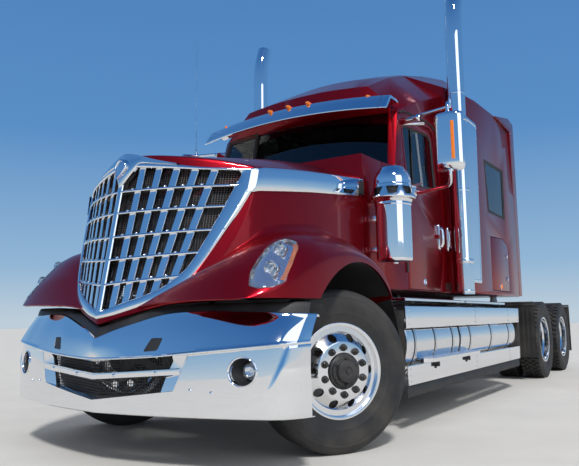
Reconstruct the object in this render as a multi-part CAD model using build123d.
from build123d import *
from functools import cache
import math
import os

os.makedirs("parts", exist_ok=True)

# Conventional 6x4 sleeper tractor, in millimetres. +X is forward, +Y is the driver's left and +Z is up.
# Stations are measured from the front axle line and from the ground. The last step moves the whole
# truck along X by FRAME_SHIFT, so that its origin lies under the middle of its length.

# Driving dimensions
NOSE_X = 1140.0
TAIL_X = -7420.0
FRAME_SHIFT = -(NOSE_X + TAIL_X) / 2
DRIVE_AXLE_1_X = -5480.0
TANDEM_SPACING = 1320.0
DRIVE_AXLE_2_X = DRIVE_AXLE_1_X - TANDEM_SPACING
DRIVE_AXLES_X = [DRIVE_AXLE_1_X, DRIVE_AXLE_2_X]
KINGPIN_Y = 900.0
STEER_REST_DEG = -30.0

# Tyres and ten-stud disc wheels
TYRE_R = 505.0
TYRE_W = 280.0
RIM_R = 298.0
BEAD_R = 284.0
HUB_BORE_R = 110.0
STUD_CIRCLE_R = 142.875
STUD_HOLE_R = 13.0
HAND_HOLE_CIRCLE_R = 208.0
HAND_HOLE_R = 27.0
WHEEL_BOLTS = 10
DISC_T = 24.0
WHEEL_Z = TYRE_R
FRONT_TYRE_Y = 1010.0
FRONT_DISC_FACE = 150.0
FRONT_DISC_RIM_FACE = 98.0
SPINDLE_R = 32.0
DUAL_OUTER_Y = 1080.0
DUAL_PITCH = 330.0
DUAL_INNER_Y = DUAL_OUTER_Y - DUAL_PITCH

# Ladder frame
RAIL_OUT_Y = 432.0
RAIL_FLANGE = 90.0
RAIL_T = 10.0
RAIL_TOP = 1000.0
RAIL_H = 265.0
RAIL_FRONT_X = 900.0
RAIL_REAR_X = -7330.0
CROSSMEMBER_BOTTOM, CROSSMEMBER_TOP = 800.0, 870.0
SILL_X = [-1150.0, -2450.0, -4150.0]

# Prow: the surface of the grille and of the nose. Seen from above it is a rounded V, and it leans back.
PROW_TIP_X = 1102.0
PROW_TIP_Z = 839.0
PROW_LEAN = 0.192
PROW_LINEAR = 0.22
PROW_SQUARE = 0.0004

# Hood
HOOD_REAR_X = -600.0
HOOD_T = 14.0
ARCH_X = -20.0
ARCH_Z = 550.0
ARCH_R = 635.0

# Cab and sleeper
WALL = 40.0
CAB_REAR_X = -2290.0
SLEEPER_REAR_X = -4280.0
BODY_BOTTOM = 1050.0
FLOOR_T = 60.0

# Doors
DOOR_FRONT_X = -1275.0
DOOR_BOTTOM = 1062.0
DOOR_TOP = 2560.0
DOOR_GAP = 6.0

# Body sides below the cab
FAIRING_Y = 1200.0
FAIRING_FRONT_X = -690.0

# Fifth wheel
FIFTH_X = -6060.0
FIFTH_TOP = 1225.0
FIFTH_PIVOT_Z = 1140.0
KINGPIN_BORE_R = 26.0


def box(x0, x1, y0, y1, z0, z1):
    centre = Pos((x0 + x1) / 2, (y0 + y1) / 2, (z0 + z1) / 2)
    return centre * Box(abs(x1 - x0), abs(y1 - y0), abs(z1 - z0))


def closed_face(points):
    return make_face(Polyline(*points, close=True))


def side_prism(outline_xz, y0, y1):
    """Outline seen from the side, as (x, z) pairs, solid from y0 to y1."""
    face = closed_face([(x, y0, z) for x, z in outline_xz])
    return extrude(face, amount=y1 - y0, dir=(0, 1, 0))


def front_prism(outline_yz, x0, x1):
    """Outline seen from the front, as (y, z) pairs, solid from x0 to x1."""
    face = closed_face([(x0, y, z) for y, z in outline_yz])
    return extrude(face, amount=x1 - x0, dir=(1, 0, 0))


def plan_prism(outline_xy, z0, z1):
    """Outline seen from above, as (x, y) pairs, solid from z0 to z1."""
    face = closed_face([(x, y, z0) for x, y in outline_xy])
    return extrude(face, amount=z1 - z0, dir=(0, 0, 1))


def cylinder_y(x, z, r, y0, y1):
    return Pos(x, (y0 + y1) / 2, z) * Rot(90, 0, 0) * Cylinder(r, abs(y1 - y0))


def cylinder_x(y, z, r, x0, x1):
    return Pos((x0 + x1) / 2, y, z) * Rot(0, 90, 0) * Cylinder(r, abs(x1 - x0))


def cylinder_z(x, y, r, z0, z1):
    return Pos(x, y, (z0 + z1) / 2) * Cylinder(r, abs(z1 - z0))


def mirrored(shape):
    return mirror(shape, about=Plane.XZ)


def both_sides(shape):
    return shape + mirrored(shape)


def tube(points, r, bend):
    """Round bar along straight runs joined by tangent arcs."""
    path = FilletPolyline(*points, radius=bend) if len(points) > 2 else Line(*points)
    start = Plane(origin=path @ 0, z_dir=path % 0)
    return sweep(start * Circle(r), path=path)


def revolved_y(profile_ry, centre):
    """Ring turned about an axis along Y through centre, from (radius, y) pairs."""
    x, y, z = centre
    face = closed_face([(x + r, y + dy, z) for r, dy in profile_ry])
    return revolve(face, axis=Axis((x, y, z), (0, 1, 0)))


# Wheels

# Tyre section: radius and distance from the mid plane
TYRE_SECTION = [
    (BEAD_R, -105.0),
    (330.0, -128.0),
    (400.0, -TYRE_W / 2),
    (455.0, -134.0),
    (TYRE_R - 14, -118.0),
    (TYRE_R, -98.0),
    (TYRE_R, 98.0),
    (TYRE_R - 14, 118.0),
    (455.0, 134.0),
    (400.0, TYRE_W / 2),
    (330.0, 128.0),
    (BEAD_R, 105.0),
]


def tyre(x, y):
    return revolved_y(TYRE_SECTION, (x, y, WHEEL_Z))


# Rim section: radius and distance from the mid plane, out along the outside and back along the inside
RIM_SECTION = [
    (BEAD_R, -105.0),
    (RIM_R, -114.0),
    (RIM_R, -122.0),
    (BEAD_R - 10, -116.0),
    (BEAD_R - 12, -60.0),
    (250.0, -40.0),
    (250.0, 40.0),
    (BEAD_R - 12, 60.0),
    (BEAD_R - 10, 116.0),
    (RIM_R, 122.0),
    (RIM_R, 114.0),
    (BEAD_R, 105.0),
    (BEAD_R - 1, 62.0),
    (262.0, 46.0),
    (262.0, -46.0),
    (BEAD_R - 1, -62.0),
]


def rim(x, y, hub_face, rim_face):
    """Drop-centre rim and its disc. The faces are the disc's outer side, measured from the mid plane."""
    band = revolved_y(RIM_SECTION, (x, y, WHEEL_Z))
    dish = [
        (HUB_BORE_R, hub_face),
        (182.0, hub_face),
        (238.0, rim_face),
        (BEAD_R - 11, rim_face),
        (BEAD_R - 11, rim_face - DISC_T),
        (228.0, rim_face - DISC_T),
        (172.0, hub_face - DISC_T),
        (HUB_BORE_R, hub_face - DISC_T),
    ]
    disc = revolved_y(dish, (x, y, WHEEL_Z))
    y0 = y + min(hub_face, rim_face) - 2 * DISC_T
    y1 = y + max(hub_face, rim_face) + DISC_T
    cutters = []
    for i in range(WHEEL_BOLTS):
        stud = 2 * math.pi * i / WHEEL_BOLTS
        hand = stud + math.pi / WHEEL_BOLTS
        rings = [(stud, STUD_CIRCLE_R, STUD_HOLE_R), (hand, HAND_HOLE_CIRCLE_R, HAND_HOLE_R)]
        for a, circle_r, hole_r in rings:
            cx = x + circle_r * math.sin(a)
            cz = WHEEL_Z + circle_r * math.cos(a)
            cutters.append(cylinder_y(cx, cz, hole_r, y0, y1))
    return band + (disc - cutters)


def hub(x, y_in, y_face, y_end, bore_r):
    """Hub and drum behind the disc at y_face, with its cap out to y_end and a blind bore for the spindle."""
    profile = [
        (bore_r, y_in),
        (95.0, y_in),
        (95.0, y_face - 110),
        (200.0, y_face - 110),
        (200.0, y_face - 45),
        (165.0, y_face - 10),
        (165.0, y_face),
        (HUB_BORE_R - 1, y_face),
        (HUB_BORE_R - 1, y_face + 45),
        (84.0, y_face + 60),
        (78.0, y_end),
        (0.0, y_end),
        (0.0, y_end - 30),
        (bore_r, y_end - 30),
    ]
    return revolved_y(profile, (x, 0, WHEEL_Z))


def steered(shape, side):
    """Turn a piece that was drawn straight ahead to the parked steering angle."""
    return shape.rotate(Axis((0, side * KINGPIN_Y, 0), (0, 0, 1)), STEER_REST_DEG)


def make_wheels(parts):
    hub_face_y = FRONT_TYRE_Y + FRONT_DISC_FACE - DISC_T
    front_tyre = tyre(0, FRONT_TYRE_Y)
    front_rim = rim(0, FRONT_TYRE_Y, FRONT_DISC_FACE, FRONT_DISC_RIM_FACE)
    front_hub = hub(0, 985.0, hub_face_y, FRONT_TYRE_Y + 205.0, SPINDLE_R + 1)
    for name, shape in [("tyre", front_tyre), ("wheel", front_rim + front_hub)]:
        parts[f"front_{name}_left"] = steered(shape, 1)
        parts[f"front_{name}_right"] = steered(mirrored(shape), -1)
    for number, x in enumerate(DRIVE_AXLES_X, 1):
        tyres = tyre(x, DUAL_OUTER_Y) + tyre(x, DUAL_INNER_Y)
        mount_y = (DUAL_OUTER_Y + DUAL_INNER_Y) / 2
        outer_face = mount_y + DISC_T - DUAL_OUTER_Y
        inner_face = mount_y - DUAL_INNER_Y
        outer = rim(x, DUAL_OUTER_Y, outer_face, outer_face + 68)
        inner = rim(x, DUAL_INNER_Y, inner_face, inner_face - 68)
        end = hub(x, 655.0, mount_y - DISC_T, DUAL_OUTER_Y - 5, SPINDLE_R + 1)
        wheel = outer + inner + end
        parts[f"drive_tyres_{number}_left"] = tyres
        parts[f"drive_tyres_{number}_right"] = mirrored(tyres)
        parts[f"drive_wheels_{number}_left"] = wheel
        parts[f"drive_wheels_{number}_right"] = mirrored(wheel)


# Steering and axles

BEAM_Z = 440.0
BEAM_HALF_X = 45.0
# Front view of the forged beam: its drop between the springs and its raised ends, in (y, z)
BEAM_OUTLINE = [
    (-835, 500),
    (-700, 485),
    (-560, BEAM_Z - 45),
    (560, BEAM_Z - 45),
    (700, 485),
    (835, 500),
    (835, 545),
    (680, 540),
    (530, BEAM_Z + 45),
    (-530, BEAM_Z + 45),
    (-680, 540),
    (-835, 545),
]
BEAM_EYE_R = 48.0
BEAM_EYE_Z = (440.0, 570.0)
KNUCKLE_FORK_Z = [(392.0, 432.0), (578.0, 618.0)]
KNUCKLE_Z = (392.0, 618.0)
KNUCKLE_EYE_R = 54.0
KNUCKLE_WEB_Y = (964.0, 980.0)
SPINDLE_Y = (960.0, 1160.0)
KINGPIN_R = 22.0
ARM_LENGTH = 200.0
ARM_Y = KINGPIN_Y
ARM_BOTTOM, ARM_TOP = 408.0, 432.0
ARM_HALF_W = 26.0
BALL_PIN_R = 12.0
TIE_ROD_Z = 470.0
TIE_ROD_R = 19.0
TIE_ROD_EYE_R = 30.0
TIE_ROD_EYE_HALF = 24.0

# Drive axles
AXLE_TUBE_R = 68.0
AXLE_TUBE_HALF = 645.0
AXLE_END_HALF = 1030.0
# Bowl of the final drive: radius and distance from the truck's middle
DIFF_BOWL = [(0, -150), (120, -150), (205, -60), (205, 60), (120, 150), (0, 150)]
CARRIER_AHEAD, CARRIER_UP = 200.0, 40.0
CARRIER_R_BACK, CARRIER_R_FRONT, CARRIER_LENGTH = 150.0, 85.0, 220.0


def knuckle():
    """Left steering knuckle drawn straight ahead: fork, kingpin, spindle and track-rod arm."""
    web_y0, web_y1 = KNUCKLE_WEB_Y
    body = cylinder_y(0, WHEEL_Z, SPINDLE_R, *SPINDLE_Y)
    body += box(-60, 60, web_y0, web_y1, *KNUCKLE_Z)
    for z0, z1 in KNUCKLE_FORK_Z:
        body += cylinder_z(0, KINGPIN_Y, KNUCKLE_EYE_R, z0, z1)
        body += box(-50, 50, KINGPIN_Y, web_y1, z0, z1)
    body += cylinder_z(0, KINGPIN_Y, KINGPIN_R, *KNUCKLE_Z)
    arm = box(-ARM_LENGTH, 0, ARM_Y - ARM_HALF_W, ARM_Y + ARM_HALF_W, ARM_BOTTOM, ARM_TOP)
    arm += cylinder_z(-ARM_LENGTH, ARM_Y, ARM_HALF_W, ARM_BOTTOM, ARM_TOP)
    ball_pin = cylinder_z(-ARM_LENGTH, ARM_Y, BALL_PIN_R, ARM_TOP, TIE_ROD_Z + TIE_ROD_EYE_HALF - 2)
    return body + arm + ball_pin


def tie_rod():
    """Track rod between the two arms, seated on their ball pins, drawn straight ahead."""
    z0, z1 = TIE_ROD_Z - TIE_ROD_EYE_HALF, TIE_ROD_Z + TIE_ROD_EYE_HALF
    rod = cylinder_y(-ARM_LENGTH, TIE_ROD_Z, TIE_ROD_R, -ARM_Y, ARM_Y)
    for y in (ARM_Y, -ARM_Y):
        rod += cylinder_z(-ARM_LENGTH, y, TIE_ROD_EYE_R, z0, z1)
    for y in (ARM_Y, -ARM_Y):
        rod -= cylinder_z(-ARM_LENGTH, y, BALL_PIN_R + 2, z0, z1)
    return rod


def parked_arm_shift():
    """How far the arms' ends move from straight ahead to the parked steering angle."""
    a = math.radians(STEER_REST_DEG)
    return ARM_LENGTH * (1 - math.cos(a)), -ARM_LENGTH * math.sin(a)


def axles():
    """Steered beam with its kingpin eyes, and the two drive axles with their final drives."""
    beam = front_prism(BEAM_OUTLINE, -BEAM_HALF_X, BEAM_HALF_X)
    for side in (1, -1):
        beam += cylinder_z(0, side * KINGPIN_Y, BEAM_EYE_R, *BEAM_EYE_Z)
        beam += box(-BEAM_HALF_X, BEAM_HALF_X, side * 800, side * KINGPIN_Y, 470, 550)
        beam -= cylinder_z(0, side * KINGPIN_Y, KINGPIN_R + 1, *BEAM_EYE_Z)
    solids = [beam]
    for x in DRIVE_AXLES_X:
        housing = cylinder_y(x, WHEEL_Z, AXLE_TUBE_R, -AXLE_TUBE_HALF, AXLE_TUBE_HALF)
        housing += cylinder_y(x, WHEEL_Z, SPINDLE_R, -AXLE_END_HALF, AXLE_END_HALF)
        bowl = revolved_y(DIFF_BOWL, (x, 0, WHEEL_Z))
        nose = Cone(CARRIER_R_BACK, CARRIER_R_FRONT, CARRIER_LENGTH)
        carrier = Pos(x + CARRIER_AHEAD, 0, WHEEL_Z + CARRIER_UP) * Rot(0, 90, 0) * nose
        solids.append(housing + bowl + carrier)
    return Compound(children=[s for shape in solids for s in shape.solids()])


# Ladder frame and what hangs on it

CROSSMEMBER_X = [860.0, -2350.0, -3400.0, -4900.0, -6140.0, RAIL_REAR_X + 10]
RAIL_DROP_X, RAIL_DROP = 520.0, 130.0
TAIL_LAMP_Y = [-330.0, -230.0, 230.0, 330.0]
TAIL_LAMP_Z, TAIL_LAMP_R = 870.0, 44.0


def frame_rails():
    """Two C-section rails with their crossmembers, cab sills and the closing plate with its lamps."""
    web_y, flange_y = RAIL_OUT_Y - RAIL_T, RAIL_OUT_Y - RAIL_FLANGE
    bottom = RAIL_TOP - RAIL_H
    channel = [
        (RAIL_OUT_Y, RAIL_TOP),
        (RAIL_OUT_Y, bottom),
        (flange_y, bottom),
        (flange_y, bottom + RAIL_T),
        (web_y, bottom + RAIL_T),
        (web_y, RAIL_TOP - RAIL_T),
        (flange_y, RAIL_TOP - RAIL_T),
        (flange_y, RAIL_TOP),
    ]
    rail = front_prism(channel, RAIL_REAR_X, RAIL_FRONT_X)
    # The front end drops below the hood's nose
    rail -= box(RAIL_DROP_X, RAIL_FRONT_X + 10, 300, 500, RAIL_TOP - RAIL_DROP, RAIL_TOP + 10)
    frame = both_sides(rail)
    for x in CROSSMEMBER_X:
        frame += box(x - 10, x + 10, -web_y, web_y, CROSSMEMBER_BOTTOM, CROSSMEMBER_TOP)
    # Sills under the floors of cab and sleeper
    for x in SILL_X:
        frame += box(x - 40, x + 40, -400, 400, RAIL_TOP - RAIL_T, BODY_BOTTOM)
    # Closing plate with four round tail lamps
    frame += box(RAIL_REAR_X - 12, RAIL_REAR_X + 5, -RAIL_OUT_Y, RAIL_OUT_Y, 760, RAIL_TOP - 4)
    for y in TAIL_LAMP_Y:
        frame += cylinder_x(y, TAIL_LAMP_Z, TAIL_LAMP_R, RAIL_REAR_X - 34, RAIL_REAR_X - 12)
    return frame


SPRING_Y = (395.0, 475.0)
# Side view of the front leaf pack, in (x, z)
LEAF_OUTLINE = [
    (-720, 668),
    (-360, 578),
    (0, 545),
    (360, 578),
    (700, 668),
    (700, 690),
    (360, 612),
    (0, 590),
    (-360, 612),
    (-720, 690),
]
# Hanger brackets of the leaf pack: first and last x, bottom and top
LEAF_BRACKETS = [(-735.0, -690.0, 660.0, 735.0), (680.0, 730.0, 660.0, 735.0), (-60.0, 60.0, 485.0, 560.0)]
# Side view of a trailing arm: distance ahead of the axle, and height
ARM_OUTLINE = [(560, 640), (560, 560), (60, 395), (-330, 400), (-330, 440), (-60, 437), (60, 437), (500, 640)]
TRAILING_ARM_Y = (400.0, 470.0)
AIR_BAG_BEHIND, AIR_BAG_R = 235.0, 108.0
AIR_BAG_Z = (430.0, 700.0)
RAIL_BOTTOM = RAIL_TOP - RAIL_H


def suspension():
    """Front leaf packs, rear trailing arms, air bags and the brackets that hang them."""
    front = side_prism(LEAF_OUTLINE, *SPRING_Y)
    for x0, x1, z0, z1 in LEAF_BRACKETS:
        front += box(x0, x1, *SPRING_Y, z0, z1)
    solids = [front]
    for x in DRIVE_AXLES_X:
        rear = side_prism([(x + ahead, z) for ahead, z in ARM_OUTLINE], *TRAILING_ARM_Y)
        rear += box(x + 490, x + 570, *TRAILING_ARM_Y, 560, RAIL_BOTTOM)
        rear += cylinder_z(x - AIR_BAG_BEHIND, TRAILING_ARM_Y[1], AIR_BAG_R, *AIR_BAG_Z)
        rear += box(x - 330, x - 140, TRAILING_ARM_Y[0], 575, AIR_BAG_Z[1], RAIL_BOTTOM)
        solids.append(rear)
    shapes = []
    for shape in solids:
        shapes += shape.solids() + mirrored(shape).solids()
    return Compound(children=shapes)


ENGINE_X = (-590.0, 320.0)
ENGINE_HALF_W = 330.0
ENGINE_Z = (590.0, 1560.0)
GEARBOX_OUTLINE = [(-590, 980), (-590, 600), (-1500, 620), (-1500, 940)]
GEARBOX_HALF_W = 260.0
SHAFT_Z, SHAFT_R = 720.0, 50.0
SHAFT_X = (-5100.0, -1500.0)


def drivetrain_block():
    """Engine and gearbox as plain blocks at their real size and place, with the propeller shaft."""
    engine = box(*ENGINE_X, -ENGINE_HALF_W, ENGINE_HALF_W, *ENGINE_Z)
    gearbox = side_prism(GEARBOX_OUTLINE, -GEARBOX_HALF_W, GEARBOX_HALF_W)
    shaft = cylinder_x(0, SHAFT_Z, SHAFT_R, *SHAFT_X)
    return engine + gearbox + shaft


# Radiator: first and last x, half width, bottom and top of its core, the narrow part between the rails,
# its top tank and its bottom tank
RADIATOR_BLOCKS = [
    (380.0, 470.0, 420.0, RAIL_TOP + 10, 1600.0),
    (380.0, 470.0, 335.0, 690.0, RAIL_TOP + 10),
    (365.0, 485.0, 440.0, 1600.0, 1650.0),
    (365.0, 485.0, 330.0, 650.0, 690.0),
]


def radiator():
    blocks = [box(x0, x1, -half, half, z0, z1) for x0, x1, half, z0, z1 in RADIATOR_BLOCKS]
    return blocks[0] + blocks[1:]


# Bumper

# Section stations from the centre line outwards. Each row has the station y and, in (x, z), the top
# edge, the lip, the recess under the lip and the bottom edge.
BUMPER_SECTIONS = [
    (0.0, (1112.0, 732.0), (1126.0, 611.0), (1092.0, 592.0), (1138.0, 311.0)),
    (130.0, (1076.0, 780.0), (1112.0, 614.0), (1078.0, 595.0), (1120.0, 311.0)),
    (260.0, (1038.0, 819.0), (1094.0, 620.0), (1061.0, 601.0), (1098.0, 311.0)),
    (400.0, (997.0, 857.0), (1069.0, 628.0), (1036.0, 609.0), (1068.0, 311.0)),
    (520.0, (958.0, 874.0), (1043.0, 638.0), (1011.0, 619.0), (1041.0, 311.0)),
    (700.0, (902.0, 878.0), (997.0, 655.0), (966.0, 636.0), (993.0, 311.0)),
    (850.0, (848.0, 874.0), (950.0, 669.0), (921.0, 650.0), (946.0, 311.0)),
    (1000.0, (790.0, 869.0), (895.0, 683.0), (868.0, 664.0), (885.0, 311.0)),
    (1120.0, (722.0, 862.0), (830.0, 694.0), (806.0, 676.0), (808.0, 311.0)),
    (1180.0, (655.0, 858.0), (745.0, 700.0), (724.0, 683.0), (760.0, 311.0)),
    (1212.0, (592.0, 855.0), (664.0, 703.0), (650.0, 687.0), (712.0, 311.0)),
]
BUMPER_T = 26.0
BUMPER_OPENING = [(-524, 606), (0, 578), (524, 606), (439, 444), (0, 382), (-439, 444)]
FOG_Y, FOG_Z, FOG_R = 933.0, 552.0, 78.0
# Tow hook slot of the left side from the front, in (y, z)
TOW_SLOT = [(358.0, 656.0), (449.0, 662.0), (468.0, 731.0), (396.0, 731.0)]
BUMPER_CUT_X = (900.0, 1200.0)
HORN_BRACKET_X = 1046.0
# Left half of the mesh and of the bar across the opening, from above in (x, y), and the bar's front view
INSERT_MESH = [(1072, 0), (989, 540), (977, 540), (1060, 0)]
INSERT_MESH_Z = (396.0, 616.0)
V_BAR_FRONT = [(0, 493), (540, 530), (556, 567), (0, 530)]
V_BAR_PLAN = [(1098, 0), (1086, 130), (1068, 260), (1042, 400), (1004, 560), (980, 560), (1060, 0)]
V_BAR_Z = (480.0, 600.0)
FOG_BOWL_X = (850.0, 895.0)
FOG_LENS_R = 46.0


@cache
def bumper():
    faces = []
    for y, top, lip, recess, bottom in BUMPER_SECTIONS:
        outer = [top, lip, recess, bottom]
        inner = [(x - BUMPER_T, z) for x, z in reversed(outer)]
        faces.append(closed_face([(x, y, z) for x, z in outer + inner]))
    half = loft(faces, ruled=True)
    shell = both_sides(half) & box(500, NOSE_X, -1300, 1300, 250, 900)
    opening = front_prism(BUMPER_OPENING, *BUMPER_CUT_X)
    fog_holes = [cylinder_x(side * FOG_Y, FOG_Z, FOG_R, 700, 1100) for side in (1, -1)]
    slots = [front_prism([(side * y, z) for y, z in TOW_SLOT], *BUMPER_CUT_X) for side in (1, -1)]
    shell = shell - opening - fog_holes - slots
    # Brackets from the frame horns to the back of the bumper
    for side in (1, -1):
        shell += box(RAIL_FRONT_X, HORN_BRACKET_X, side * 350, side * 425, 642, 660)
        shell += box(RAIL_FRONT_X, RAIL_FRONT_X + 12, side * 342, side * 432, 640, 840)
    return shell


def bumper_insert():
    """Mesh behind the opening, the V-shaped bar across it and the surrounds of the fog lamps."""
    mesh = plan_prism(INSERT_MESH, *INSERT_MESH_Z)
    bar = front_prism(V_BAR_FRONT, *BUMPER_CUT_X) & plan_prism(V_BAR_PLAN, *V_BAR_Z)
    return both_sides(mesh) + both_sides(bar) - bumper()


def fog_lamps():
    solids = []
    for side in (1, -1):
        y, (x0, x1) = side * FOG_Y, FOG_BOWL_X
        bowl = cylinder_x(y, FOG_Z, FOG_R - 2, x0, x1) - cylinder_x(y, FOG_Z, FOG_R - 8, x0 + 12, x1 + 5)
        lens = cylinder_x(y, FOG_Z, FOG_LENS_R, x0 + 12, x1 + 7)
        solids += (bowl + lens).solids()
    return Compound(children=solids)


# Prow surface, hood and fenders

def prow_offset(y):
    """How far the prow surface lies behind its tip at the distance y from the centre line."""
    return PROW_LINEAR * abs(y) + PROW_SQUARE * y * y


def leaning_prism(plan_edges, z0, z1, lean):
    """Solid between two heights above a plan outline, leaning back by lean for each unit of height."""
    face = make_face(plan_edges)
    return extrude(face, amount=(z1 - z0) * math.sqrt(1 + lean * lean), dir=(-lean, 0, 1))


def behind_prow(back, z0=560.0, z1=2100.0):
    """Everything behind the prow surface moved back by the given distance."""
    half = 960.0
    tip_x = PROW_TIP_X - PROW_LEAN * (z0 - PROW_TIP_Z) - back
    tip = (tip_x, 0, z0)
    edges = []
    for side in (1, -1):
        mid = (tip_x - prow_offset(half / 2), side * half / 2, z0)
        end = (tip_x - prow_offset(half), side * half, z0)
        edges.append(ThreePointArc(tip, mid, end))
    rear_x = tip_x - 2200
    corners = [(tip_x - prow_offset(half), half, z0), (rear_x, half, z0), (rear_x, -half, z0),
               (tip_x - prow_offset(half), -half, z0)]
    edges.append(Polyline(*corners))
    return leaning_prism(edges, z0, z1, PROW_LEAN)


@cache
def prow_shell(front, back):
    return behind_prow(front) - behind_prow(back)


# Half width of the hood along its length: a long side, then a curve in to the nose
HOOD_SIDE = [(HOOD_REAR_X, 930.0), (100.0, 868.0), (559.0, 749.0), (737.0, 622.0), (940.0, 425.0),
             (1056.0, 220.0), (1165.0, 0.0)]

# Crown of the hood by station: knee and centre heights, and where the surface runs out at the side
HOOD_CROWN = [
    # x, knee y, knee z, centre z, edge y, edge z
    (HOOD_REAR_X - 20, 690.0, 1992.0, 2062.0, 980.0, 1862.0),
    (80.0, 640.0, 1918.0, 1984.0, 930.0, 1772.0),
    (560.0, 545.0, 1846.0, 1912.0, 860.0, 1715.0),
    (900.0, 350.0, 1812.0, 1870.0, 720.0, 1700.0),
    (1200.0, 200.0, 1780.0, 1820.0, 600.0, 1680.0),
]

# Fender by station: where it leaves the hood, its crest and its outer face
FENDER_SECTIONS = [
    # x, inner y, inner z, crest y, crest z, outer y, outer z
    (1020.0, 150.0, 880.0, 450.0, 925.0, 760.0, 905.0),
    (960.0, 250.0, 950.0, 640.0, 985.0, 930.0, 930.0),
    (820.0, 430.0, 1040.0, 800.0, 1140.0, 1080.0, 1000.0),
    (560.0, 600.0, 1190.0, 900.0, 1318.0, 1160.0, 1110.0),
    (215.0, 640.0, 1270.0, 930.0, 1378.0, 1188.0, 1195.0),
    (-114.0, 640.0, 1260.0, 930.0, 1363.0, 1190.0, 1190.0),
    (-300.0, 640.0, 1130.0, 930.0, 1226.0, 1190.0, 1140.0),
    (-463.0, 640.0, 960.0, 930.0, 1048.0, 1190.0, 1018.0),
    (-672.0, 640.0, 600.0, 930.0, 660.0, 1190.0, 632.0),
]
NOSE_EDGE = [(0.0, 812.0), (280.0, 892.0), (400.0, 922.0), (620.0, 938.0), (1260.0, 942.0)]


# Range along X that every opening seen from the front is cut through
NOSE_CUT_X = (200.0, 1400.0)
HOOD_SIDE_BOTTOM = 1130.0
FENDER_INNER_Y = 560.0
FENDER_REAR_BOTTOM = 632.0
LINER_Y = (640.0, 1180.0)
LINER_X = (-560.0, 500.0)
LINER_BOTTOM = 905.0


@cache
def hood_plan(inset):
    points = [(x - inset if y < 500 else x, y - inset if y else 0.0) for x, y in HOOD_SIDE]
    z0 = 700.0
    edges = [Spline(*[(x, side * y, z0) for x, y in points]) for side in (1, -1)]
    rear_x, rear_y = points[0]
    edges.append(Line((rear_x, rear_y, z0), (rear_x, -rear_y, z0)))
    return extrude(make_face(edges), amount=1500, dir=(0, 0, 1))


@cache
def hood_crown(drop):
    """Solid under the crown surface, lowered by drop for the inside of the panel."""
    sections = []
    for x, knee_y, knee_z, top_z, edge_y, edge_z in HOOD_CROWN:
        corners = [(x, edge_y, edge_z - drop), (x, knee_y, knee_z - drop), (x, -knee_y, knee_z - drop),
                   (x, -edge_y, edge_z - drop)]
        top = ThreePointArc(corners[1], (x, 0, top_z - drop), corners[2])
        base = Polyline(corners[2], corners[3], (x, -edge_y, 500), (x, edge_y, 500), corners[0], corners[1])
        sections.append(make_face([top, base]))
    return loft(sections)


def below_nose_edge():
    line = NOSE_EDGE + [(1260, 300), (-1260, 300)] + [(-y, z) for y, z in reversed(NOSE_EDGE[1:])]
    return front_prism(line, 300, 1300)


def hood_solid(inset):
    return hood_plan(inset) & hood_crown(inset)


@cache
def fender_solid(inset):
    sections = []
    for x, y_in, z_in, y_crest, z_crest, y_out, z_out in FENDER_SECTIONS:
        inner, outer = (x, y_in, z_in - inset), (x, y_out - inset, z_out - inset)
        crest = ThreePointArc(inner, (x, y_crest, z_crest - inset), outer)
        base = Polyline(outer, (x, y_out - inset, 500), (x, y_in, 500), inner)
        sections.append(make_face([crest, base]))
    return loft(sections)


def hood_panel():
    """Hood top, sides and nose in one moulding, open at the rear and below, with the grille opening."""
    outer = hood_solid(0) & behind_prow(GRILLE_DEPTH)
    inner = hood_solid(HOOD_T) & behind_prow(GRILLE_DEPTH + HOOD_T)
    rear_half = HOOD_SIDE[0][1] - HOOD_T
    inner += box(HOOD_REAR_X - 30, HOOD_REAR_X + 60, -rear_half, rear_half, 690, 1840)
    shell = outer - inner
    shell -= front_prism(grille_outline(GRILLE_BAND * 0.8), *NOSE_CUT_X)
    # Chin below the grille's frame, level with it
    chin = prow_shell(8, GRILLE_DEPTH + HOOD_T) & hood_solid(0)
    chin -= front_prism(grille_outline(-2), *NOSE_CUT_X)
    shell += chin & box(600, 1200, -600, 600, 700, 1060)
    shell -= below_nose_edge()
    # The sides end above the wheel arch, where the fenders carry on
    shell -= box(HOOD_REAR_X - 100, 420, -1300, 1300, 600, HOOD_SIDE_BOTTOM)
    shell -= cylinder_y(ARCH_X, ARCH_Z, ARCH_R + 12, -1300, 1300)
    return shell


def fender():
    """Left fender with its wheel arch, the liner over the wheel and the headlight recess."""
    outer = fender_solid(0) - hood_solid(0)
    hollow = fender_solid(HOOD_T) & box(-640, 940, 100, 1250, 400, 1500)
    shell = outer - hollow
    shell -= cylinder_y(ARCH_X, ARCH_Z, ARCH_R, FENDER_INNER_Y, 1260)
    shell -= below_nose_edge()
    shell -= box(HOOD_REAR_X - 120, 300, FENDER_INNER_Y, 1260, 400, FENDER_REAR_BOTTOM)
    shell -= box(HOOD_REAR_X - 100, -560, FENDER_INNER_Y, 960, 600, 1300)
    liner = cylinder_y(ARCH_X, ARCH_Z, ARCH_R + 10, *LINER_Y) - cylinder_y(ARCH_X, ARCH_Z, ARCH_R, 600, 1200)
    liner &= box(*LINER_X, 600, 1200, LINER_BOTTOM, 1260)
    shell += liner & fender_solid(1)
    return shell


def fenders():
    left = fender() - headlight_body(LAMP_PROUD, LAMP_DEPTH)
    return Compound(children=left.solids() + mirrored(left).solids())


# Grille

GRILLE_DEPTH = 44.0
GRILLE_BAND = 52.0
GRILLE_TOP_Z = 1752.0
# Outer edge of the grille's frame seen from the front
GRILLE_EDGE = [
    # y, z
    (0.0, 841.0),
    (183.0, 901.0),
    (360.0, 976.0),
    (500.0, 1091.0),
    (650.0, 1373.0),
    (761.0, 1638.0),
    (800.0, 1752.0),
]
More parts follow.
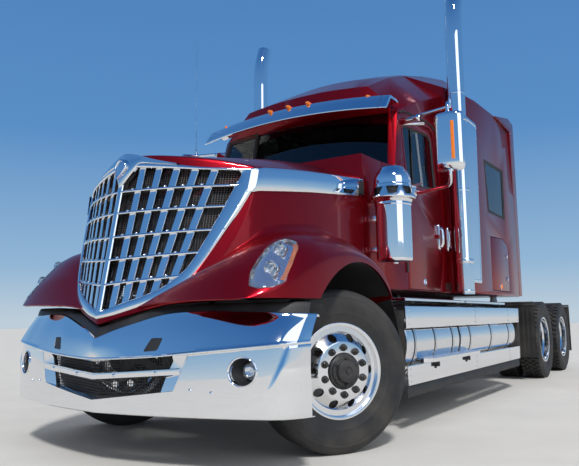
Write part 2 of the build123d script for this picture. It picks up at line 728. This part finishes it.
# Rows of bars: height at the centre line, and rise for each unit outwards
GRILLE_BARS = [
    (1043.0, 0.095),
    (1193.0, 0.066),
    (1335.0, 0.055),
    (1488.0, 0.040),
    (1629.0, 0.027),
]
GRILLE_BAR_H = 15.0
# Upright blades of one side, which fan out with the height: the first blade's place and the pitch, each
# with its growth for each unit of height, taken at BLADE_Z
BLADE_COUNT = 5
BLADE_Z = 1150.0
BLADE_FIRST_Y, BLADE_FIRST_GROWTH = 88.5, 0.055
BLADE_PITCH, BLADE_PITCH_GROWTH = 83.5, 0.037
BLADE_W = 40.0
SPINE_HALF_W = 17.0
# Bright band over the grille: upper edge and lower edge of the left half, in (y, z)
TOP_BAND_UPPER = [(0, 1830), (132, 1815), (341, 1789), (500, 1765), (711, 1758), (812, 1752)]
TOP_BAND_LOWER = [(806, 1735), (340, 1760), (0, 1790)]
# Left half of the plain crest on the nose, from its foot up to its top, in (y, z)
NOSE_CREST = [(0, 1655), (60, 1700), (150, 1800), (70, 1868), (0, 1884)]


def grille_outline(inset):
    """Outline of the grille from the front, drawn in from its outer edge, with an arched top."""
    rows = []
    for y, z in GRILLE_EDGE:
        rows.append((max(y - inset * 1.05, 0.0), z + inset * (1.0 - y / 950)))
    top = GRILLE_TOP_Z + 40 - inset
    corner = (GRILLE_EDGE[-1][0] - inset, GRILLE_TOP_Z + 6 - inset)
    right = rows[:-1] + [corner, (300.0, top), (170.0, top - 14)]
    crown = (0.0, top - 110)
    left = [(-y, z) for y, z in reversed(right) if y > 0]
    return right + [crown] + left


def nose_cut(outline):
    """Prism through the whole nose from an outline seen from the front."""
    return front_prism(outline, *NOSE_CUT_X)


@cache
def grille_frame():
    """Broad bright band round the grille, standing 6 mm proud of the bars."""
    band = nose_cut(grille_outline(0)) - nose_cut(grille_outline(GRILLE_BAND))
    band += both_sides(nose_cut(TOP_BAND_UPPER + TOP_BAND_LOWER))
    return band & prow_shell(-6, GRILLE_DEPTH) & hood_solid(-6)


def blade_y(number, z):
    """Distance of a blade's middle from the centre line at a height."""
    up = z - BLADE_Z
    first = BLADE_FIRST_Y + BLADE_FIRST_GROWTH * up
    return first + number * (BLADE_PITCH + BLADE_PITCH_GROWTH * up)


def grille_bars():
    """Five rows of bars and five upright blades a side, all on the prow surface, with the centre bar."""
    z0, z1 = 800.0, 1800.0
    blades = [nose_cut([(-SPINE_HALF_W, z0), (SPINE_HALF_W, z0), (SPINE_HALF_W, z1), (-SPINE_HALF_W, z1)])]
    for i in range(BLADE_COUNT):
        low, high = [blade_y(i, z) - BLADE_W / 2 for z in (z0, z1)]
        blade = nose_cut([(low, z0), (low + BLADE_W, z0), (high + BLADE_W, z1), (high, z1)])
        blades += [blade, mirrored(blade)]
    uprights = (blades[0] + blades[1:]) & prow_shell(4, 36)
    bars = []
    end_y, half_h = 800.0, GRILLE_BAR_H / 2
    for z, rise in GRILLE_BARS:
        end_z = z + rise * end_y
        bar = nose_cut([(0, z - half_h), (end_y, end_z - half_h), (end_y, end_z + half_h), (0, z + half_h)])
        bars += [bar, mirrored(bar)]
    rows = (bars[0] + bars[1:]) & prow_shell(-4, 30)
    return (uprights + rows) & nose_cut(grille_outline(GRILLE_BAND))


def grille_mesh():
    """Fine dark screen behind the bars, seated on the back of the frame."""
    return nose_cut(grille_outline(GRILLE_BAND * 0.85)) & prow_shell(GRILLE_DEPTH, GRILLE_DEPTH + 6)


# Long trim spear on the hood side: its edge in (x, z)
SPEAR = [
    (700.0, 1600.0),
    (575.0, 1757.0),
    (80.0, 1806.0),
    (-590.0, 1868.0),
    (-510.0, 1728.0),
    (100.0, 1664.0),
    (620.0, 1604.0),
]
SMALLEST_TRIM = 2000.0


def hood_trim():
    """Bright spears along both sides of the hood and the plain crest on its nose."""
    side_band = (hood_plan(-5) - hood_plan(0)) & side_prism(SPEAR, -1000, 1000) & behind_prow(-6)
    side_band -= grille_frame()
    crest = both_sides(nose_cut(NOSE_CREST)) & prow_shell(-10, GRILLE_DEPTH)
    crest = crest - nose_cut(grille_outline(0)) - grille_frame()
    solids = side_band.solids() + crest.solids()
    return Compound(children=[s for s in solids if s.volume > SMALLEST_TRIM])


# Headlight from the front, in (y, z): a tall slim lamp that follows the fender back as it rises
LAMP_OUTLINE = [
    (957, 1285),
    (995, 1299),
    (1046, 1280),
    (1082, 1236),
    (1102, 1133),
    (1108, 1026),
    (1072, 1000),
    (1015, 992),
    (958, 1010),
    (932, 1088),
    (930, 1170),
    (936, 1245),
]
LAMP_PROUD, LAMP_DEPTH = 4.0, 70.0


@cache
def headlight_body(proud, depth):
    """Lamp cut from the fender's own surface, from a little proud of it down to a depth below it."""
    return front_prism(LAMP_OUTLINE, 400, 1000) & (fender_solid(-proud) - fender_solid(depth))


def headlights():
    """One slim lamp a side, seated in its recess in the fender."""
    left = headlight_body(LAMP_PROUD, LAMP_DEPTH)
    return Compound(children=left.solids() + mirrored(left).solids())


# Cab and sleeper shells

SCREEN_BASE_X = -1000.0
SCREEN_BASE_Z = 2080.0
SCREEN_LEAN = 0.30
SCREEN_SWEEP = 150.0
CAB_SECTIONS = [
    # x, half widths at sill, belt and shoulder, shoulder z, crease half width, crease z, centre z
    (-620.0, 930.0, 930.0, 880.0, 2500.0, 640.0, 2560.0, 2600.0),
    (-950.0, 932.0, 936.0, 890.0, 2560.0, 650.0, 2700.0, 2760.0),
    (-1300.0, 1005.0, 1012.0, 935.0, 2610.0, 660.0, 2880.0, 2930.0),
    (-1800.0, 1020.0, 1024.0, 960.0, 2830.0, 650.0, 3125.0, 3195.0),
    (CAB_REAR_X, 1028.0, 1032.0, 1000.0, 3010.0, 600.0, 3320.0, 3385.0),
]
BELT_Z = 1900.0
# The sleeper's front wall stands back beside the cab, to leave room for the stacks
SLEEPER_FRONT_X = -2340.0
SLEEPER_SECTIONS = [
    (CAB_REAR_X, 1176.0, 1180.0, 1150.0, 3035.0, 600.0, 3320.0, 3385.0),
    (-2900.0, 1180.0, 1184.0, 1156.0, 3110.0, 590.0, 3510.0, 3565.0),
    (-3600.0, 1180.0, 1184.0, 1158.0, 3140.0, 590.0, 3690.0, 3745.0),
    (SLEEPER_REAR_X, 1180.0, 1184.0, 1158.0, 3140.0, 590.0, 3740.0, 3800.0),
]


def shell_solid(sections, inset, bottom):
    """Body with flat sides, tumblehome above the belt, a shoulder and a raised crown, drawn in by inset."""
    faces = []
    for x, sill, belt, shoulder, shoulder_z, crease, crease_z, centre_z in sections:
        half = [
            (x, sill - inset, bottom),
            (x, belt - inset, BELT_Z),
            (x, shoulder - inset, shoulder_z - inset),
            (x, crease - inset / 2, crease_z - inset),
        ]
        other = [(x, -y, z) for _, y, z in reversed(half)]
        roof = ThreePointArc(half[-1], (x, 0, centre_z - inset), other[0])
        faces.append(make_face([roof, Polyline(*other, *half)]))
    return loft(faces, ruled=True)


def behind_screen(back):
    z0, z1 = 1900.0, 3600.0
    x0 = SCREEN_BASE_X - SCREEN_LEAN * (z0 - SCREEN_BASE_Z) - back
    half = 1100.0
    sweep_x = SCREEN_SWEEP * (half / 950.0) ** 2
    arc = ThreePointArc((x0 - sweep_x, half, z0), (x0, 0, z0), (x0 - sweep_x, -half, z0))
    edge_x, rear_x = x0 - sweep_x, x0 - 2400
    rear = Polyline((edge_x, half, z0), (rear_x, half, z0), (rear_x, -half, z0), (edge_x, -half, z0))
    return leaning_prism([arc, rear], z0, z1, SCREEN_LEAN)


@cache
def cab_solid(inset):
    cab = shell_solid(CAB_SECTIONS, inset, BODY_BOTTOM)
    low = box(-700 - inset if inset else -620, CAB_REAR_X - 10, -1200, 1200, 1000, SCREEN_BASE_Z - inset)
    return cab & (low + behind_screen(inset))


# Windshield opening from the front, and the door's window and outline from the side
SCREEN_OUTLINE = [(-905, 2096), (905, 2096), (866, 2590), (-866, 2590)]
SCREEN_CUT_X = (-1500.0, -700.0)
WINDOW = [(-1325.0, 1936.0), (-1960.0, 2000.0), (-1965.0, 2470.0), (-1900.0, 2520.0), (-1400.0, 2492.0),
          (-1362.0, 2460.0)]
DOOR_OUTLINE = [(DOOR_FRONT_X, DOOR_BOTTOM), (DOOR_FRONT_X, 1950.0), (-1350.0, 2540.0), (-1410.0, DOOR_TOP),
                (-1930.0, 2588.0), (-1990.0, 2560.0), (-2060.0, 2150.0), (-2085.0, 1747.0), (-2050.0, 1300.0),
                (-1960.0, DOOR_BOTTOM)]
HANDLE_X = (-2062.0, -1900.0)
HANDLE_Z = (1540.0, 1572.0)


def opening_prism(outline, gap, y0, y1):
    """Side opening that leaves an even gap round the piece that fills it."""
    face = make_face(Polyline(*[(x, z) for x, z in outline], close=True))
    if gap:
        face = offset(face, amount=gap, kind=Kind.INTERSECTION)
    placed = Plane(origin=(0, y0, 0), x_dir=(1, 0, 0), z_dir=(0, -1, 0)) * face
    return extrude(placed, amount=y1 - y0, dir=(0, 1, 0))


def cab_shell():
    """Floor, cowl, roof and door frames of the cab, open at the rear into the sleeper."""
    inner = cab_solid(WALL) & box(-700, CAB_REAR_X, -1200, 1200, BODY_BOTTOM + FLOOR_T, 3600)
    rear_room = box(-1900, CAB_REAR_X - 5, -1200, 1200, BODY_BOTTOM + FLOOR_T, 3600)
    inner += shell_solid(CAB_SECTIONS[2:], WALL, BODY_BOTTOM + FLOOR_T) & rear_room
    shell = cab_solid(0) - inner
    shell -= opening_prism(DOOR_OUTLINE, DOOR_GAP, -1300, 1300)
    shell -= front_prism(SCREEN_OUTLINE, *SCREEN_CUT_X)
    return shell


def door(side):
    wall = cab_solid(0) - cab_solid(WALL)
    left = wall & opening_prism(DOOR_OUTLINE, 0, 500, 1300)
    left -= opening_prism(WINDOW, 0, 500, 1300)
    # Pull handle, open behind its grip
    grip = box(*HANDLE_X, 1020, 1046, *HANDLE_Z)
    left += grip - box(HANDLE_X[0] + 12, HANDLE_X[1] - 12, 1000, 1036, HANDLE_Z[0] - 10, HANDLE_Z[1] + 8)
    return left if side > 0 else mirrored(left)


def door_glass(side):
    pane = (cab_solid(14) - cab_solid(20)) & opening_prism(WINDOW, 0, 500, 1300)
    return pane if side > 0 else mirrored(pane)


SLEEPER_WINDOW = [(-3134.0, 1950.0), (-3763.0, 1941.0), (-3830.0, 2509.0), (-3108.0, 2490.0)]
LUGGAGE_DOOR = [(-3129.0, 1100.0), (-3129.0, 1667.0), (-3620.0, 1686.0), (-3800.0, 1640.0), (-3843.0, 1560.0),
                (-3843.0, 1100.0)]


def sleeper_shell():
    """Hollow sleeper body with its front corners set back, open at the front where the cab joins it."""
    outer = shell_solid(SLEEPER_SECTIONS, 0, BODY_BOTTOM)
    for side in (1, -1):
        y0, y1 = sorted((side * 1045, side * 1300))
        outer -= box(SLEEPER_FRONT_X, CAB_REAR_X + 20, y0, y1, 900, 3400)
    inner = shell_solid(SLEEPER_SECTIONS, WALL, BODY_BOTTOM + FLOOR_T)
    inner &= box(SLEEPER_FRONT_X - WALL, SLEEPER_REAR_X + WALL, -1200, 1200, BODY_BOTTOM + FLOOR_T, 3900)
    passage = Pos(-60, 0, 0) * shell_solid(CAB_SECTIONS[3:], WALL + 4, BODY_BOTTOM + FLOOR_T)
    passage &= box(CAB_REAR_X + 10, SLEEPER_FRONT_X - 5, -1100, 1100, 1000, 3600)
    neck = Pos(-120, 0, 0) * shell_solid(CAB_SECTIONS[3:], WALL + 4, BODY_BOTTOM + FLOOR_T)
    neck &= box(SLEEPER_FRONT_X + 5, SLEEPER_FRONT_X - WALL - 5, -1100, 1100, 1000, 3600)
    shell = outer - inner - passage - neck
    shell -= opening_prism(SLEEPER_WINDOW, 0, -1300, 1300)
    shell -= opening_prism(LUGGAGE_DOOR, DOOR_GAP, -1300, 1300)
    return shell


def luggage_door(side):
    wall = shell_solid(SLEEPER_SECTIONS, 0, BODY_BOTTOM) - shell_solid(SLEEPER_SECTIONS, WALL, BODY_BOTTOM)
    left = wall & opening_prism(LUGGAGE_DOOR, 0, 900, 1300)
    return left if side > 0 else mirrored(left)


def fixed_glass():
    screen = (cab_solid(12) - cab_solid(18)) & front_prism(SCREEN_OUTLINE, *SCREEN_CUT_X)
    pane = shell_solid(SLEEPER_SECTIONS, 10, BODY_BOTTOM) - shell_solid(SLEEPER_SECTIONS, 16, BODY_BOTTOM)
    pane &= opening_prism(SLEEPER_WINDOW, 0, 900, 1300)
    solids = [s for s in screen.solids() if s.volume > 2e6] + pane.solids() + mirrored(pane).solids()
    return Compound(children=solids)


# Panel behind the sleeper's corner, from the side in (x, z)
EXTENDER = [
    (-3640.0, 3136.0),
    (-4248.0, 3265.0),
    (-4480.0, 3240.0),
    (-4450.0, 1061.0),
    (SLEEPER_REAR_X - 2, 1061.0),
    (SLEEPER_REAR_X - 2, 3100.0),
]
EXTENDER_Y = (1146.0, 1176.0)


def side_extenders():
    panel = side_prism(EXTENDER, *EXTENDER_Y) - shell_solid(SLEEPER_SECTIONS, -1, BODY_BOTTOM)
    return Compound(children=panel.solids() + mirrored(panel).solids())


# Visor: its section in (x, z), and how far each station stands ahead and up
VISOR_SECTION = [(-1330, 2672), (-1095, 2680), (-985, 2545), (-1000, 2536), (-1112, 2655), (-1330, 2650)]
VISOR_STATIONS = [(-965.0, 0.0, 0.0), (0.0, 75.0, 52.0), (965.0, 0.0, 0.0)]
# Roof lamps along the visor: y, x, z
ROOF_LAMPS = [
    (-768, -1119, 2700),
    (-205, -1054, 2738),
    (0, -1048, 2742),
    (205, -1054, 2738),
    (768, -1119, 2700),
]


@cache
def sun_visor():
    """Bright external visor over the windshield, bowed forward and up at its centre."""
    faces = []
    for y, ahead, up in VISOR_STATIONS:
        faces.append(closed_face([(x + ahead, y, z + up) for x, z in VISOR_SECTION]))
    blade = loft([faces[0], faces[1], faces[2]])
    return blade - cab_solid(-1)


def roof_lamps():
    solids = []
    for y, x, z in ROOF_LAMPS:
        lamp = Pos(x, y, z) * Rot(0, 8, 0) * Box(105, 44, 36)
        lamp -= sun_visor()
        solids += [max(lamp.solids(), key=lambda s: s.volume)]
    return Compound(children=solids)


# Exhaust, air cleaners and mirrors

STACK_X, STACK_Y, STACK_R = -2230.0, 1172.0, 82.0
STACK_BOTTOM, STACK_TOP = 1030.0, 4040.0
CLEANER_X, CLEANER_Y = -725.0, 1120.0
# Air cleaner from the bottom up: radius and height
CLEANER_SECTION = [
    (0, 1232),
    (118, 1232),
    (134, 1250),
    (134, 1668),
    (146, 1684),
    (172, 1716),
    (172, 1772),
    (142, 1798),
    (134, 1884),
    (104, 1942),
    (50, 1964),
    (0, 1968),
]
CLEANER_WINDOWS = 12
CLEANER_BRACKETS_Z = [1300.0, 1540.0]
MIRROR_X, MIRROR_Y = -1165.0, 1415.0
# Mirror head from above: distance ahead of its middle and outwards
MIRROR_PLAN = [(45, -95), (45, 95), (20, 105), (-45, 100), (-45, -100), (20, -105)]
MIRROR_Z = (1980.0, 2450.0)
MIRROR_ARM_R, MIRROR_ARM_BEND = 16.0, 30.0
WHIP_X, WHIP_Y = -1340.0, MIRROR_Y - 24
STACK_BEND = 260.0
STACK_BRACKETS_Z = [1320.0, 2700.0]


def exhaust_stacks():
    """Tall pipes at the sleeper's front corners, each ending in a turn-out."""
    foot, elbow = (STACK_X, STACK_Y, STACK_BOTTOM), (STACK_X, STACK_Y, STACK_TOP - 210)
    bore_foot = (STACK_X, STACK_Y, STACK_TOP - 700)
    stack = tube([foot, elbow, (STACK_X - 90, STACK_Y, STACK_TOP)], STACK_R, STACK_BEND)
    stack -= tube([bore_foot, elbow, (STACK_X - 180, STACK_Y, STACK_TOP + 210)], STACK_R - 4, STACK_BEND)
    for z in STACK_BRACKETS_Z:
        stack += box(SLEEPER_FRONT_X, STACK_X - STACK_R + 10, 1100, 1150, z, z + 40)
    return Compound(children=stack.solids() + mirrored(stack).solids())


SHIELD = [(-2346, 1150), (-2346, 2820), (-3090, 2820), (-3060, 1150)]


def stack_shields():
    """Flat bright panels on the sleeper's sides behind the stacks, with slanted tops."""
    panel = side_prism(SHIELD, 1170, 1190)
    panel -= shell_solid(SLEEPER_SECTIONS, 0, BODY_BOTTOM)
    return Compound(children=panel.solids() + mirrored(panel).solids())


def air_cleaners():
    """Cans beside the cowl, each with a ring of windows in its flared skirt, on two brackets."""
    face = closed_face([(CLEANER_X + r, CLEANER_Y, z) for r, z in CLEANER_SECTION])
    can = revolve(face, axis=Axis((CLEANER_X, CLEANER_Y, 0), (0, 0, 1)))
    window = Pos(174, 0, 1744) * Box(26, 48, 40)
    for i in range(CLEANER_WINDOWS):
        can -= Pos(CLEANER_X, CLEANER_Y, 0) * Rot(0, 0, 360 / CLEANER_WINDOWS * i) * window
    for z in CLEANER_BRACKETS_Z:
        can += box(CLEANER_X - 60, CLEANER_X + 60, 900, CLEANER_Y - 115, z, z + 60)
    can -= cab_solid(0)
    return Compound(children=can.solids() + mirrored(can).solids())


def door_mirror(side):
    """Door mirror with its two arms and the whip aerial on its upper arm."""
    head = plan_prism([(MIRROR_X + ahead, MIRROR_Y + out) for ahead, out in MIRROR_PLAN], *MIRROR_Z)
    near_y = MIRROR_Y - 20
    upper_path = [(-1390, 960, 2500), (-1390, 1050, 2545), (-1340, near_y, 2560), (MIRROR_X, MIRROR_Y, 2540),
                  (MIRROR_X, MIRROR_Y, MIRROR_Z[1] - 10)]
    lower_path = [(-1370, 1000, 1895), (-1370, 1080, 1868), (-1245, near_y, 1872), (MIRROR_X, MIRROR_Y, 1925),
                  (MIRROR_X, MIRROR_Y, MIRROR_Z[0] + 10)]
    arms = tube(upper_path, MIRROR_ARM_R, MIRROR_ARM_BEND) + tube(lower_path, MIRROR_ARM_R, MIRROR_ARM_BEND)
    whip = cylinder_z(WHIP_X, WHIP_Y, 14, 2545, 2640) + cylinder_z(WHIP_X, WHIP_Y, 5, 2640, 3850)
    left = head + arms + whip
    left -= cab_solid(0)
    return left if side > 0 else mirrored(left)


# Body sides, tanks, steps and the frame's rear end

FAIRING_REAR_X = -4100.0
FAIRING_TOP, FAIRING_BOTTOM = 912.0, 334.0
# Panels of the left side, in (x, z)
UPPER_PANEL = [
    (FAIRING_FRONT_X, FAIRING_TOP),
    (FAIRING_FRONT_X - 12, 745.0),
    (FAIRING_REAR_X + 20, 745.0),
    (FAIRING_REAR_X, FAIRING_TOP),
]
LOWER_PANEL = [
    (FAIRING_FRONT_X - 5, 480.0),
    (FAIRING_FRONT_X - 20, FAIRING_BOTTOM),
    (FAIRING_REAR_X + 46, FAIRING_BOTTOM),
    (FAIRING_REAR_X + 30, 480.0),
]
FAIRING_RIB_Y = 820.0


def side_fairings():
    """Bright upper and lower side panels with their end ribs, one set a side."""
    y0, y1 = FAIRING_Y - 12, FAIRING_Y
    upper = side_prism(UPPER_PANEL, y0, y1)
    upper += box(FAIRING_REAR_X, FAIRING_FRONT_X, y0 - 60, y1, FAIRING_TOP - 7, FAIRING_TOP)
    lower = side_prism(LOWER_PANEL, y0, y1)
    end = box(FAIRING_REAR_X - 6, FAIRING_REAR_X + 6, FAIRING_RIB_Y, y1, FAIRING_BOTTOM, FAIRING_TOP)
    front = box(FAIRING_FRONT_X - 30, FAIRING_FRONT_X - 22, FAIRING_RIB_Y, y0, 480, FAIRING_TOP - 7)
    left = upper + lower + end
    solids = left.solids() + front.solids()
    shapes = solids + [mirrored(s) for s in solids]
    return Compound(children=shapes)


TANK_R = 300.0
TANK_Y, TANK_Z = 880.0, 632.0
# Tank ends along X: the front and the rear tank of each side
TANKS = [(-760.0, -1960.0), (-2020.0, -3960.0)]
# Straps as shares of a tank's length
STRAPS = [0.14, 0.50, 0.86]
STRAP_HALF_W, STRAP_T = 26.0, 6.0
FILLER_R, FILLER_SHARE, FILLER_ANGLE = 52.0, 0.30, 38.0


def fuel_tanks():
    solids = []
    for x0, x1 in TANKS:
        can = cylinder_x(TANK_Y, TANK_Z, TANK_R, x0, x1)
        for share in STRAPS:
            strap_x = x0 + (x1 - x0) * share
            strap0, strap1 = strap_x - STRAP_HALF_W, strap_x + STRAP_HALF_W
            can += cylinder_x(TANK_Y, TANK_Z, TANK_R + STRAP_T, strap0, strap1)
            can += box(strap0, strap1, RAIL_OUT_Y, TANK_Y - 180, 740, 860)
        # Filler neck and cap, turned outwards and up
        neck = Pos(0, 0, TANK_R - 10) * Cylinder(FILLER_R - 10, 50)
        neck += Pos(0, 0, TANK_R + 25) * Cylinder(FILLER_R, 24)
        can += Pos(x0 + (x1 - x0) * FILLER_SHARE, TANK_Y, TANK_Z) * Rot(-FILLER_ANGLE, 0, 0) * neck
        solids += can.solids()
    return Compound(children=solids + [mirrored(s) for s in solids])


STEP_INNER_Y = 1010.0
UPPER_STEP_X, UPPER_STEP_Z = (-3520.0, -725.0), (945.0, 972.0)
LOWER_STEP_X, LOWER_STEP_Z = (-2290.0, -1050.0), (480.0, 500.0)
STEP_BRACKETS_X = [-1055.0, -3495.0]


def steps():
    """Upper step platforms over the tanks and the lower step on the side panel."""
    upper = box(*UPPER_STEP_X, STEP_INNER_Y, FAIRING_Y, *UPPER_STEP_Z)
    for x in STEP_BRACKETS_X:
        upper += box(x - 5, x + 5, RAIL_OUT_Y, STEP_INNER_Y, UPPER_STEP_Z[0], UPPER_STEP_Z[0] + 20)
    lower = box(*LOWER_STEP_X, FAIRING_Y - 44, FAIRING_Y + 32, *LOWER_STEP_Z)
    left = upper.solids() + lower.solids()
    return Compound(children=left + [mirrored(s) for s in left])


def deck_plate():
    return box(-5150, -4560, -RAIL_OUT_Y, RAIL_OUT_Y, RAIL_TOP, RAIL_TOP + 10)


BASE_T = 14.0
PIVOT_PIN_R = 24.0
PIVOT_BRACKET_Y = (370.0, 410.0)
# Side view of a pivot bracket: distance ahead of the pivot, and height
PIVOT_BRACKET = [
    (-150, RAIL_TOP + BASE_T),
    (150, RAIL_TOP + BASE_T),
    (38, FIFTH_PIVOT_Z + 34),
    (-38, FIFTH_PIVOT_Z + 34),
]
# Coupling plate from above: distance ahead of the kingpin and outwards, left half from front to throat
PLATE_HALF = [
    (470, 0),
    (450, 300),
    (250, 455),
    (-150, 455),
    (-440, 330),
    (-480, 170),
    (-40, KINGPIN_BORE_R),
    (0, KINGPIN_BORE_R),
]
SKIRT = [(-120, FIFTH_TOP - 38), (-50, FIFTH_PIVOT_Z - 40), (50, FIFTH_PIVOT_Z - 40), (120, FIFTH_TOP - 38)]
SKIRT_Y = (330.0, 362.0)
PIVOT_PIN_Y = (330.0, 420.0)


def fifth_wheel_base():
    """Mounting plate across the rails with the two pivot brackets."""
    plate = box(FIFTH_X - 330, FIFTH_X + 330, -RAIL_OUT_Y, RAIL_OUT_Y, RAIL_TOP, RAIL_TOP + BASE_T)
    outline = [(FIFTH_X + ahead, z) for ahead, z in PIVOT_BRACKET]
    bracket = side_prism(outline, *PIVOT_BRACKET_Y)
    bracket -= cylinder_y(FIFTH_X, FIFTH_PIVOT_Z, PIVOT_PIN_R + 1, 300, 450)
    return plate + both_sides(bracket)


def fifth_wheel_plate():
    """Coupling plate with its throat and rear ramps, its skirts and the pivot pins."""
    bottom = FIFTH_TOP - 38
    outline = PLATE_HALF + [(x, -y) for x, y in reversed(PLATE_HALF[1:])]
    plate = plan_prism([(FIFTH_X + x, y) for x, y in outline], bottom, FIFTH_TOP)
    plate -= cylinder_z(FIFTH_X, 0, KINGPIN_BORE_R, bottom - 5, FIFTH_TOP + 5)
    skirt = side_prism([(FIFTH_X + ahead, z) for ahead, z in SKIRT], *SKIRT_Y)
    pin = cylinder_y(FIFTH_X, FIFTH_PIVOT_Z, PIVOT_PIN_R, *PIVOT_PIN_Y)
    return plate + both_sides(skirt + pin)


FLAP_INNER_Y, FLAP_OUTER_Y, FLAP_T = 612.0, 1215.0, 10.0
HANGER_Z = (960.0, 990.0)
SPLASH_X = -4858.0


def mudflaps():
    """Rear mudflaps and forward splash guards on their hangers, and the skirts under the side panels."""
    solids = []
    for side in (1, -1):
        flap_y = sorted((side * FLAP_INNER_Y, side * FLAP_OUTER_Y))
        hanger_y = sorted((side * RAIL_OUT_Y, side * FLAP_OUTER_Y))
        rear = box(TAIL_X, TAIL_X + FLAP_T, *flap_y, 260, HANGER_Z[1])
        rear += box(TAIL_X, RAIL_REAR_X, *hanger_y, *HANGER_Z)
        front = box(SPLASH_X, SPLASH_X + FLAP_T, *flap_y, 300, 1010)
        front += box(SPLASH_X, SPLASH_X + 38, *hanger_y, *HANGER_Z)
        skirt_y = sorted((side * (FAIRING_Y - 12), side * (FAIRING_Y - 4)))
        skirt = box(FAIRING_REAR_X + 50, FAIRING_FRONT_X - 20, *skirt_y, 250, FAIRING_BOTTOM)
        solids += rear.solids() + front.solids() + skirt.solids()
    return Compound(children=solids)


# Inside the cab

SEAT_Y = 470.0
SEAT_HALF_W = 260.0
# Side views in (x, z): cushion with backrest, headrest, and the dashboard
SEAT_OUTLINE = [(-1640, 1430), (-1640, 1540), (-2080, 1520), (-2180, 2080), (-2280, 2080), (-2200, 1430)]
HEADREST_OUTLINE = [(-2190, 2080), (-2210, 2260), (-2290, 2260), (-2270, 2080)]
DASH_OUTLINE = [
    (-1060, 2030),
    (-1300, 2010),
    (-1420, 1900),
    (-1400, 1640),
    (-1180, 1560),
    (-760, 1560),
    (-760, 2030),
]
DASH_HALF_W = 880.0


def seats():
    """Two seats on their pedestals, each with a headrest."""
    solids = []
    for middle in (SEAT_Y, -SEAT_Y):
        y0, y1 = middle - SEAT_HALF_W, middle + SEAT_HALF_W
        seat = box(-2120, -1680, y0 + 110, y1 - 110, BODY_BOTTOM + FLOOR_T, 1430)
        seat += side_prism(SEAT_OUTLINE, y0, y1)
        seat += side_prism(HEADREST_OUTLINE, y0 + 120, y1 - 120)
        solids += seat.solids()
    return Compound(children=solids)


def dashboard():
    return side_prism(DASH_OUTLINE, -DASH_HALF_W, DASH_HALF_W) & cab_solid(WALL + 4)


def steering_wheel():
    """Wheel rim, spokes and column from the dashboard."""
    centre = Location((-1590, SEAT_Y, 1830), (0, -55, 0))
    wheel = centre * (Torus(225, 15) + Box(420, 34, 16) + Box(34, 420, 16) + Cylinder(60, 40))
    wheel += centre * Pos(0, 0, -150) * Cylinder(32, 260)
    return wheel - dashboard()


# Assembly

def build_parts():
    parts = {}
    make_wheels(parts)
    knuckle_left = knuckle()
    parts["knuckle_left"] = steered(knuckle_left, 1)
    parts["knuckle_right"] = steered(mirrored(knuckle_left), -1)
    shift_x, shift_y = parked_arm_shift()
    parts["tie_rod"] = Pos(shift_x, shift_y, 0) * tie_rod()
    parts["axles"] = axles()
    parts["frame_rails"] = frame_rails()
    parts["suspension"] = suspension()
    parts["drivetrain_block"] = drivetrain_block()
    parts["radiator"] = radiator()
    parts["bumper"] = bumper()
    parts["bumper_insert"] = bumper_insert()
    parts["fog_lamps"] = fog_lamps()
    parts["hood_panel"] = hood_panel()
    parts["fenders"] = fenders()
    parts["grille_frame"] = grille_frame()
    parts["grille_bars"] = grille_bars()
    parts["grille_mesh"] = grille_mesh()
    parts["hood_trim"] = hood_trim()
    parts["headlights"] = headlights()
    parts["cab_shell"] = cab_shell()
    parts["sleeper_shell"] = sleeper_shell()
    parts["fixed_glass"] = fixed_glass()
    parts["side_extenders"] = side_extenders()
    parts["sun_visor"] = sun_visor()
    parts["roof_lamps"] = roof_lamps()
    for name, side in (("left", 1), ("right", -1)):
        parts[f"door_{name}"] = door(side)
        parts[f"door_glass_{name}"] = door_glass(side)
        parts[f"mirror_{name}"] = door_mirror(side)
        parts[f"luggage_door_{name}"] = luggage_door(side)
    parts["exhaust_stacks"] = exhaust_stacks()
    parts["stack_shields"] = stack_shields()
    parts["air_cleaners"] = air_cleaners()
    parts["side_fairings"] = side_fairings()
    parts["fuel_tanks"] = fuel_tanks()
    parts["steps"] = steps()
    parts["deck_plate"] = deck_plate()
    parts["fifth_wheel_base"] = fifth_wheel_base()
    parts["fifth_wheel_plate"] = fifth_wheel_plate()
    parts["mudflaps"] = mudflaps()
    parts["seats"] = seats()
    parts["dashboard"] = dashboard()
    parts["steering_wheel"] = steering_wheel()
    return parts


for name, shape in build_parts().items():
    export_step(Pos(FRAME_SHIFT, 0, 0) * shape, f"parts/{name}.step")
    print(name, len(shape.solids()), round(shape.volume / 1e6, 2))
